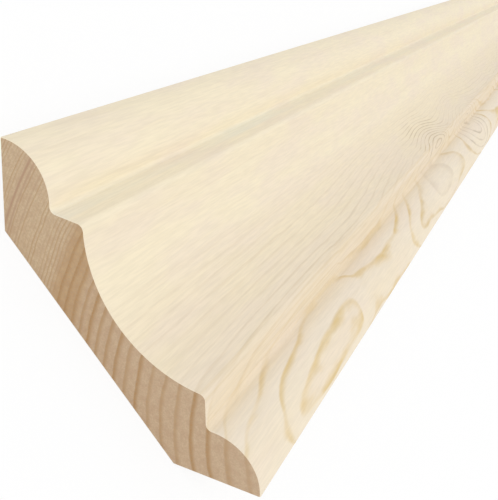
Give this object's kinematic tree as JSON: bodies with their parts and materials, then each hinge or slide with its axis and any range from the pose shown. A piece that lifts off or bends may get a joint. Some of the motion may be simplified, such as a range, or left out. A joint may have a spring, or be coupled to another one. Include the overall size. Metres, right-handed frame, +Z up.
{
  "type": "corner moulding",
  "caption": "Long sprung pine corner moulding: a wide cove between ovolos, a flat back, and bearing faces at a right angle that bridge a room corner as skirting or cornice.",
  "frame": {"origin": "on the back face, under the middle of the stock", "axes": "+Y along the length, +Z up from the back face to the moulded face, +X across the back"},
  "size_m": [0.0634, 2.4, 0.0128],
  "materials": {
    "planed_pine": "planed and sanded, bare, with darker saw-cut end grain"
  },
  "bodies": {
    "root": {"corner_moulding": "planed_pine"}
  },
  "joints": []
}
